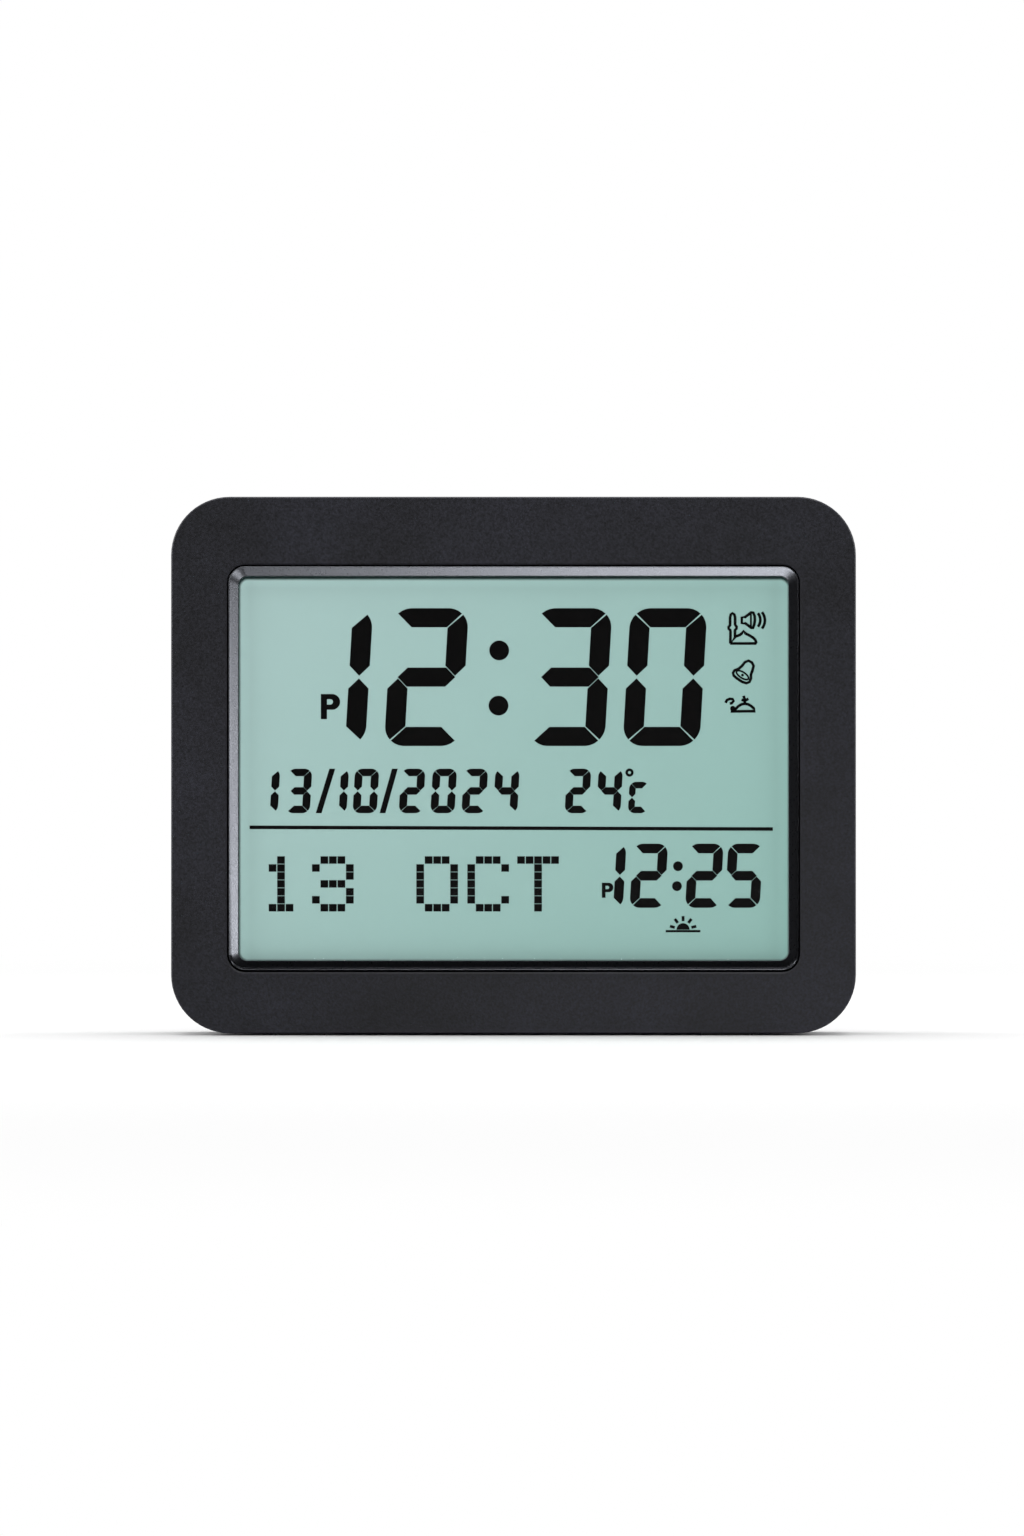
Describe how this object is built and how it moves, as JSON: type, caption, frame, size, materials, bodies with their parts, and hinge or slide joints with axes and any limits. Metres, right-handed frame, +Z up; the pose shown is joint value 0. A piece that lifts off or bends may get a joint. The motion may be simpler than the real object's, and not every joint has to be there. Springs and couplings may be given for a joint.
{
  "type": "azan clock",
  "caption": "Desk and wall prayer clock: dark rounded case, large framed liquid crystal display, rear keys, speaker grille, battery bay with hinged door, fold-out stand, keyhole slots.",
  "frame": {"origin": "centre of the bounding box in X and Y, on the table under the rubber feet", "axes": "+X to the reader's right, along the width; +Y from the display to the back; +Z up. The display faces -Y"},
  "size_m": [0.24, 0.035, 0.1888],
  "materials": {
    "case_plastic": "moulded charcoal plastic with a fine satin grain",
    "trim_plastic": "semi-gloss dark plastic that reads as a metal-look bevel",
    "clear_acrylic": "clear, polished",
    "foam": "closed-cell foam strip",
    "polarizer_film": "smooth grey-green film",
    "display_glass": "flat display glass",
    "reflector_film": "pale mint reflective film",
    "circuit_board": "glass-fibre board under green lacquer",
    "white_plastic": "moulded white plastic",
    "conductive_rubber": "banded silicone strip",
    "screw_steel": "zinc-plated steel",
    "cell_case": "printed metal jacket",
    "contact_metal": "nickel-plated spring sheet",
    "soft_rubber": "matt moulded rubber",
    "component_plastic": "moulded black component body",
    "component_metal": "drawn metal can",
    "speaker_steel": "pressed plated steel",
    "magnet_ferrite": "sintered ferrite",
    "cone_fibre": "dark pressed fibre",
    "wire_insulation": "soft insulated wire",
    "ribbon_film": "flat film cable"
  },
  "bodies": {
    "case": {"backlight_board": "circuit_board", "battery_cell_lower": "cell_case", "battery_cell_middle": "cell_case", "battery_cell_upper": "cell_case", "battery_lead_negative": "wire_insulation", "battery_lead_positive": "wire_insulation", "battery_link_left": "contact_metal", "battery_link_right": "contact_metal", "board_screws": "screw_steel", "capacitors": "component_metal", "case_screws": "screw_steel", "controller_chip": "component_plastic", "crystal": "component_metal", "dc_socket": "component_plastic", "display_board": "circuit_board", "display_ribbon": "ribbon_film", "display_window": "clear_acrylic", "foot_front_left": "soft_rubber", "foot_front_right": "soft_rubber", "foot_rear_left": "soft_rubber", "foot_rear_right": "soft_rubber", "front_bezel": "case_plastic", "holder_screws": "screw_steel", "key_switches": "component_plastic", "lcd_front_glass": "display_glass", "lcd_holder": "white_plastic", "lcd_polarizer": "polarizer_film", "lcd_rear_glass": "display_glass", "lcd_reflector": "reflector_film", "light_guide": "clear_acrylic", "main_board": "circuit_board", "rear_cover": "case_plastic", "reset_switch_body": "component_plastic", "ribbon_connectors": "white_plastic", "slide_switch_body": "component_plastic", "sound_chip": "component_plastic", "speaker_cone": "cone_fibre", "speaker_frame": "speaker_steel", "speaker_gasket": "foam", "speaker_lead": "wire_insulation", "speaker_magnet": "magnet_ferrite", "temperature_sensor": "component_plastic", "terminal_negative": "contact_metal", "terminal_positive": "contact_metal", "window_gasket": "foam", "window_trim": "trim_plastic", "zebra_strip_lower": "conductive_rubber", "zebra_strip_upper": "conductive_rubber"},
    "stand": {"kickstand": "case_plastic", "kickstand_pad": "soft_rubber"},
    "door": {"battery_door": "case_plastic"},
    "set_button": {"set_key": "case_plastic"},
    "mode_button": {"mode_key": "case_plastic"},
    "up_button": {"up_key": "case_plastic"},
    "down_button": {"down_key": "case_plastic"},
    "azan_button": {"azan_key": "case_plastic"},
    "light_button": {"light_key": "case_plastic"},
    "volume_knob": {"volume_slider": "case_plastic"},
    "reset_pin": {"reset_button": "white_plastic"}
  },
  "joints": [
    {"name": "kickstand_fold", "type": "hinge", "parent": "case", "child": "stand", "pos_m": [0, 0.01505, 0.082], "axis": [1, 0, 0], "range_deg": [0, 30]},
    {"name": "battery_door_swing", "type": "hinge", "parent": "case", "child": "door", "pos_m": [0, 0.0163, 0.0195], "axis": [-1, 0, 0], "range_deg": [0, 60]},
    {"name": "set_key_press", "type": "slide", "parent": "case", "child": "set_button", "axis": [0, -1, 0], "range_m": [0, 0.0008], "stiffness_N_per_m": 400, "springref_m": -0.0005},
    {"name": "mode_key_press", "type": "slide", "parent": "case", "child": "mode_button", "axis": [0, -1, 0], "range_m": [0, 0.0008], "stiffness_N_per_m": 400, "springref_m": -0.0005},
    {"name": "up_key_press", "type": "slide", "parent": "case", "child": "up_button", "axis": [0, -1, 0], "range_m": [0, 0.0008], "stiffness_N_per_m": 400, "springref_m": -0.0005},
    {"name": "down_key_press", "type": "slide", "parent": "case", "child": "down_button", "axis": [0, -1, 0], "range_m": [0, 0.0008], "stiffness_N_per_m": 400, "springref_m": -0.0005},
    {"name": "azan_key_press", "type": "slide", "parent": "case", "child": "azan_button", "axis": [0, -1, 0], "range_m": [0, 0.0008], "stiffness_N_per_m": 400, "springref_m": -0.0005},
    {"name": "light_key_press", "type": "slide", "parent": "case", "child": "light_button", "axis": [0, -1, 0], "range_m": [0, 0.0008], "stiffness_N_per_m": 400, "springref_m": -0.0005},
    {"name": "volume_slide", "type": "slide", "parent": "case", "child": "volume_knob", "axis": [0, 0, 1], "range_m": [-0.0025, 0.0025]},
    {"name": "reset_press", "type": "slide", "parent": "case", "child": "reset_pin", "axis": [0, -1, 0], "range_m": [0, 0.0005], "stiffness_N_per_m": 400, "springref_m": -0.0005}
  ]
}
